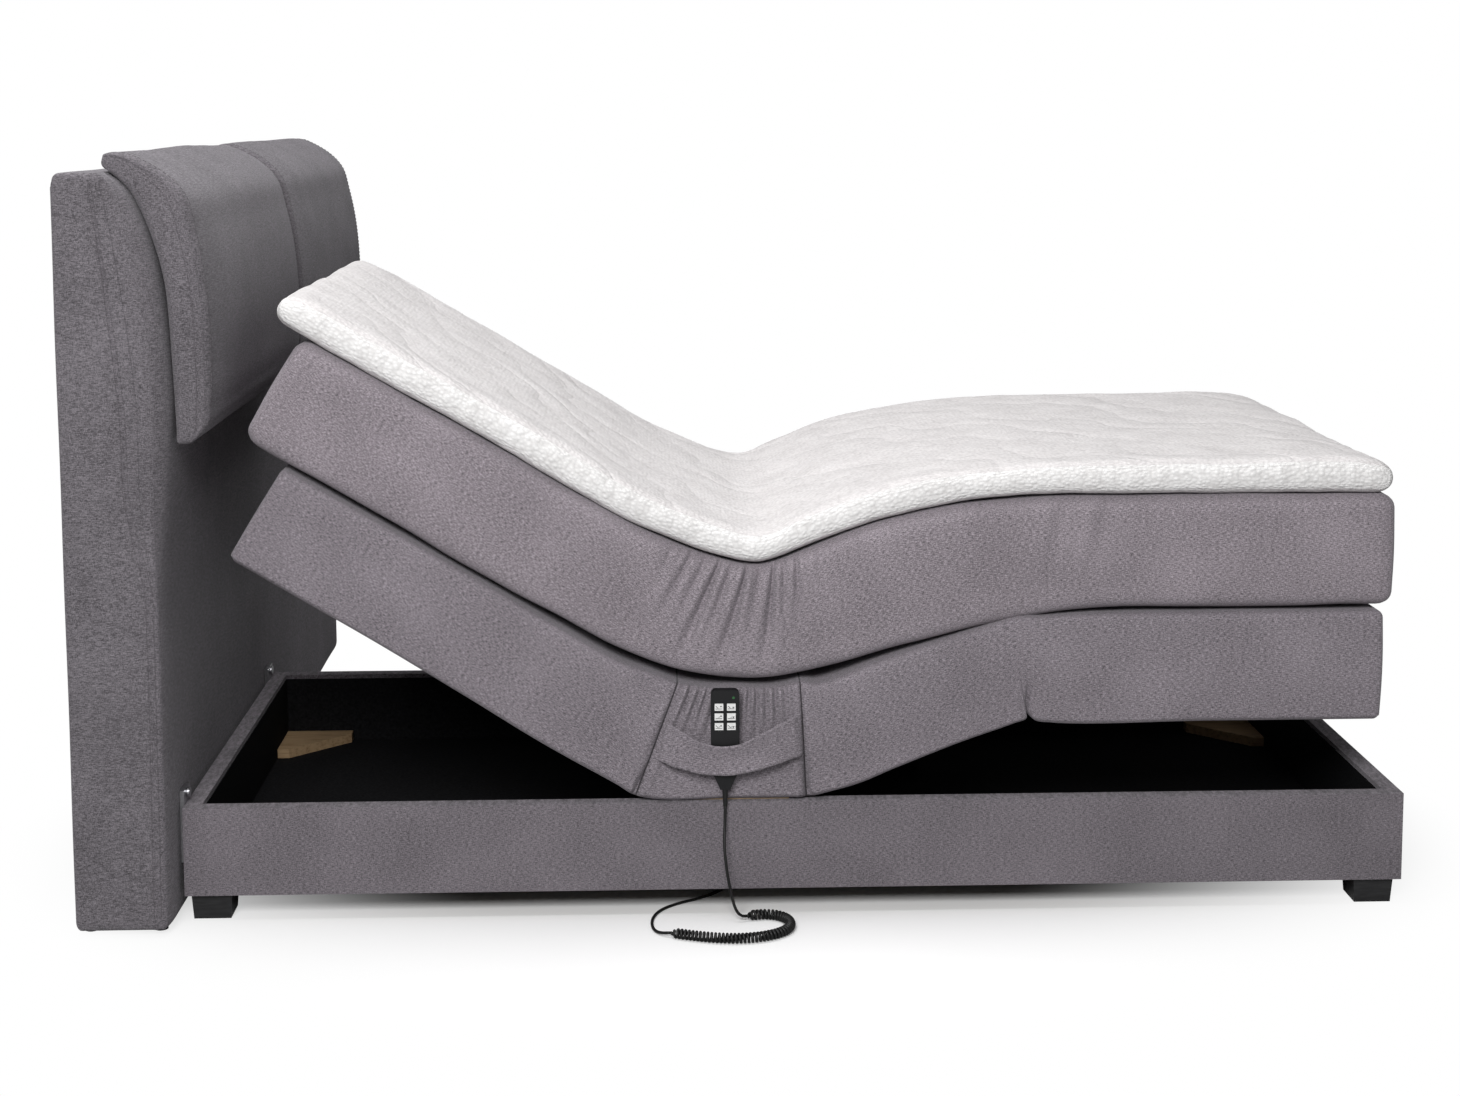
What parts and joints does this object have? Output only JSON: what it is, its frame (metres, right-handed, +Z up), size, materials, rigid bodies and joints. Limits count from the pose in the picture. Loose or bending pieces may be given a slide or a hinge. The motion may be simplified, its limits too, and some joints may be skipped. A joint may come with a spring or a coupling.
{
  "type": "adjustable bed base",
  "caption": "Upholstered adjustable bed with a hinged sprung base on a low plinth, mattress, topper, padded headboard and wired handset.",
  "frame": {"origin": "on the floor under the middle of the outline of bed and headboard, without the handset cord", "axes": "+X to the foot end, -Y to the handset side, +Z up; stored with the back and knees raised"},
  "size_m": [2.16, 2.0186, 1.256],
  "materials": {
    "timber": "sawn",
    "upholstery": "woven, matt",
    "topper_knit": "quilted knit",
    "liner_cloth": "matt",
    "black_board": "matt",
    "foot_block": "satin",
    "steel": "powder coat",
    "zinc_steel": "zinc plated",
    "black_plastic": "fine texture",
    "button_plastic": "satin",
    "spring_core": "non-woven",
    "cord_rubber": "satin"
  },
  "bodies": {
    "root": {"plinth_side_rail_near": "timber", "plinth_side_rail_far": "timber", "plinth_head_rail": "timber", "plinth_foot_rail": "timber", "plinth_cover": "upholstery", "plinth_base_board": "black_board", "plinth_liner": "liner_cloth", "corner_braces": "timber", "plinth_feet": "foot_block", "headboard_cover": "upholstery", "headboard_panel": "timber", "headboard_cushion_near": "upholstery", "headboard_cushion_far": "upholstery", "headboard_glides": "black_plastic", "headboard_brackets": "zinc_steel", "seat_deck": "timber", "seat_frame": "steel", "hinge_bushes": "black_plastic", "seat_box_cover": "upholstery", "drive_housing": "black_plastic", "drive_hanger": "steel", "control_box": "black_plastic", "mains_inlet": "black_plastic", "mattress_seat": "upholstery", "topper_seat": "topper_knit", "handset_shell": "black_plastic", "handset_pocket": "upholstery", "handset_strain_relief": "cord_rubber", "cord_to_curl": "cord_rubber", "cord_curl": "cord_rubber", "cord_tail": "cord_rubber", "cord_grommet": "cord_rubber"},
    "back": {"back_torque_tube": "steel", "back_frame": "steel", "back_box_cover": "upholstery", "back_spring_core": "spring_core"},
    "thigh": {"thigh_torque_tube": "steel", "thigh_frame": "steel", "thigh_box_cover": "upholstery", "thigh_spring_core": "spring_core", "knee_pins": "zinc_steel", "mattress_thigh": "upholstery", "topper_thigh": "topper_knit"},
    "calf": {"calf_frame": "steel", "calf_box_cover": "upholstery", "calf_spring_core": "spring_core", "mattress_calf": "upholstery", "topper_calf": "topper_knit"},
    "mattress_head": {"mattress_back": "upholstery"},
    "topper_head": {"topper_back": "topper_knit"},
    "slider_back": {"drive_slider_back": "black_plastic"},
    "slider_thigh": {"drive_slider_thigh": "black_plastic"},
    "button_back_up": {"handset_button_back_up": "button_plastic"},
    "button_back_down": {"handset_button_back_down": "button_plastic"},
    "button_leg_up": {"handset_button_leg_up": "button_plastic"},
    "button_leg_down": {"handset_button_leg_down": "button_plastic"},
    "button_all_up": {"handset_button_all_up": "button_plastic"},
    "button_flat": {"handset_button_flat": "button_plastic"}
  },
  "joints": [
    {"name": "back_lift", "type": "hinge", "parent": "root", "child": "back", "pos_m": [-0.164, -0.45, 0.26], "axis": [0, 1, 0], "range_deg": [-31, 24], "deforming": ["seat_box_cover", "mattress_seat", "topper_seat", "mattress_back", "topper_back"]},
    {"name": "thigh_lift", "type": "hinge", "parent": "root", "child": "thigh", "pos_m": [0.109, -0.45, 0.26], "axis": [0, -1, 0], "range_deg": [-19, 14], "deforming": ["mattress_thigh", "topper_thigh"]},
    {"name": "calf_level", "type": "hinge", "parent": "thigh", "child": "calf", "pos_m": [0.45411, -0.45, 0.37883], "axis": [0, -1, 0], "range_deg": [-14, 19]},
    {"name": "mattress_creep", "type": "hinge", "parent": "root", "child": "mattress_head", "pos_m": [-0.104, -0.45, 0.41], "axis": [0, 1, 0], "range_deg": [-31, 24]},
    {"name": "topper_creep", "type": "hinge", "parent": "root", "child": "topper_head", "pos_m": [-0.054, -0.45, 0.53], "axis": [0, 1, 0], "range_deg": [-31, 24]},
    {"name": "drive_slide_back", "type": "slide", "parent": "root", "child": "slider_back", "axis": [-1, 0, 0], "range_m": [-0.06407, 0.04983]},
    {"name": "drive_slide_thigh", "type": "slide", "parent": "root", "child": "slider_thigh", "axis": [1, 0, 0], "range_m": [-0.04038, 0.03002]},
    {"name": "press_back_up", "type": "slide", "parent": "root", "child": "button_back_up", "axis": [0, 1, 0], "range_m": [0, 0.0012], "stiffness_N_per_m": 600},
    {"name": "press_back_down", "type": "slide", "parent": "root", "child": "button_back_down", "axis": [0, 1, 0], "range_m": [0, 0.0012], "stiffness_N_per_m": 600},
    {"name": "press_leg_up", "type": "slide", "parent": "root", "child": "button_leg_up", "axis": [0, 1, 0], "range_m": [0, 0.0012], "stiffness_N_per_m": 600},
    {"name": "press_leg_down", "type": "slide", "parent": "root", "child": "button_leg_down", "axis": [0, 1, 0], "range_m": [0, 0.0012], "stiffness_N_per_m": 600},
    {"name": "press_all_up", "type": "slide", "parent": "root", "child": "button_all_up", "axis": [0, 1, 0], "range_m": [0, 0.0012], "stiffness_N_per_m": 600},
    {"name": "press_flat", "type": "slide", "parent": "root", "child": "button_flat", "axis": [0, 1, 0], "range_m": [0, 0.0012], "stiffness_N_per_m": 600}
  ],
  "couplings": [
    {"joint": "calf_level", "follows": "thigh_lift", "ratio": -1},
    {"joint": "mattress_creep", "follows": "back_lift", "ratio": 1},
    {"joint": "topper_creep", "follows": "back_lift", "ratio": 1},
    {"joint": "drive_slide_back", "follows": "back_lift", "m_per_rad": 0.11658},
    {"joint": "drive_slide_thigh", "follows": "thigh_lift", "m_per_rad": 0.11877}
  ]
}
